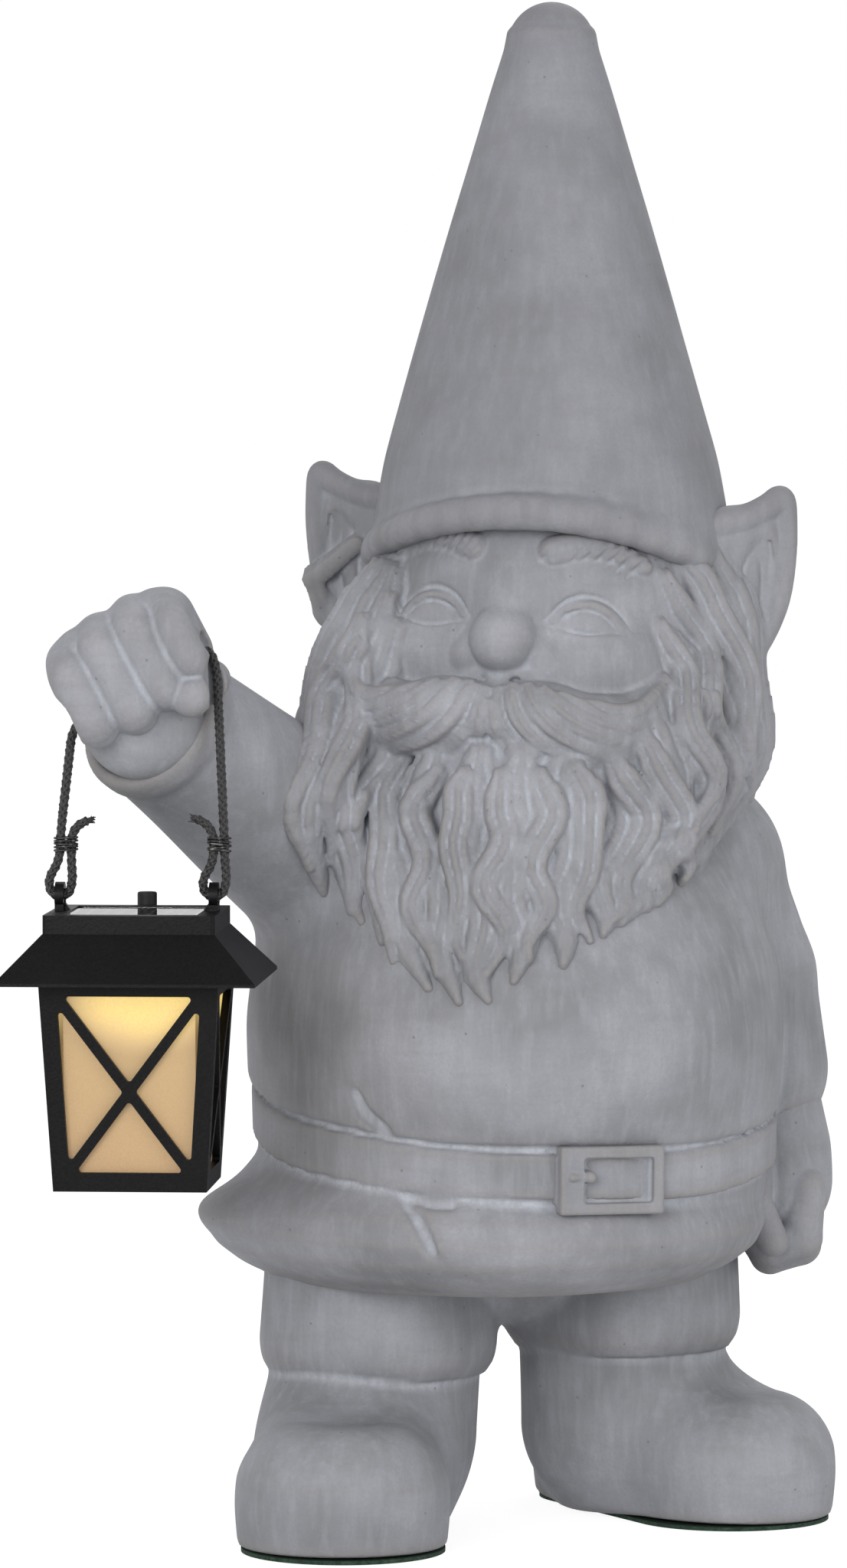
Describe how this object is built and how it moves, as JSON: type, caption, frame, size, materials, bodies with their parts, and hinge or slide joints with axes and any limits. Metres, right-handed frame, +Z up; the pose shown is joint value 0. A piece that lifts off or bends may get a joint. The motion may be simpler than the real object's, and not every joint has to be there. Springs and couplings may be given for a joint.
{
  "type": "garden gnome",
  "caption": "Standing cast-stone garden gnome that holds up a small solar lantern on a braided cord.",
  "frame": {"origin": "on the ground under the heel of the figure's right boot, on the plane of the soles", "axes": "+Z up, -Y the front that the lantern faces, +X to the viewer's right"},
  "size_m": [0.3248, 0.2829, 0.6],
  "materials": {
    "cast_stone": "matt cast stone, brushed grey wash",
    "sole_foam": "dark green foam",
    "black_cord": "braided nylon",
    "whipping_wire": "black lacquered wire",
    "black_abs": "grained ABS",
    "seal_rubber": "black silicone",
    "board_green": "solder mask",
    "silicon_cell": "dark blue silicon",
    "panel_glass": "clear cover",
    "copper_tin": "tinned copper",
    "battery_wrap": "shrink sleeve over steel",
    "plated_steel": "nickel plate",
    "led_epoxy": "clear epoxy",
    "switch_plastic": "moulded nylon",
    "screw_steel": "zinc plate",
    "button_rubber": "matt rubber",
    "frosted_pane": "frosted warm acrylic"
  },
  "bodies": {
    "figure": {"statue": "cast_stone", "sole_pad_right": "sole_foam", "sole_pad_left": "sole_foam"},
    "cord": {"hanging_cord": "black_cord", "whipping_left": "whipping_wire", "whipping_right": "whipping_wire"},
    "lantern_top": {"lantern_roof": "black_abs", "panel_seal": "seal_rubber", "panel_board": "board_green", "solar_cells": "silicon_cell", "panel_glass": "panel_glass", "panel_leads": "copper_tin", "lower_cover": "black_abs", "battery": "battery_wrap", "spring_contact": "plated_steel", "plate_contact": "plated_steel", "circuit_board": "board_green", "led": "led_epoxy", "push_switch": "switch_plastic", "cover_screws": "screw_steel"},
    "button": {"button_cap": "button_rubber", "switch_plunger": "switch_plastic"},
    "lantern_body": {"lantern_frame": "black_abs", "pane_front": "frosted_pane", "pane_right": "frosted_pane", "pane_back": "frosted_pane", "pane_left": "frosted_pane", "base_plate": "black_abs", "base_screws": "screw_steel"},
    "door": {"battery_door": "black_abs"}
  },
  "joints": [
    {"name": "cord_swing", "type": "hinge", "parent": "figure", "child": "cord", "pos_m": [-0.10842, -0.11788, 0.3381], "axis": [0.8842, -0.0587, 0.4635], "range_deg": [-18, 2]},
    {"name": "lantern_tilt", "type": "hinge", "parent": "cord", "child": "lantern_top", "pos_m": [-0.10852, -0.11787, 0.2557], "axis": [0.9978, -0.0663, 0], "range_deg": [-10, 10]},
    {"name": "button_press", "type": "slide", "parent": "lantern_top", "child": "button", "axis": [0, 0, -1], "range_m": [0, 0.0015], "stiffness_N_per_m": 400, "springref_m": -0.001},
    {"name": "body_release", "type": "slide", "parent": "lantern_top", "child": "lantern_body", "axis": [0, 0, -1], "range_m": [0, 0.03]},
    {"name": "battery_door_release", "type": "slide", "parent": "lantern_top", "child": "door", "axis": [0, 0, -1], "range_m": [0, 0.012]}
  ]
}
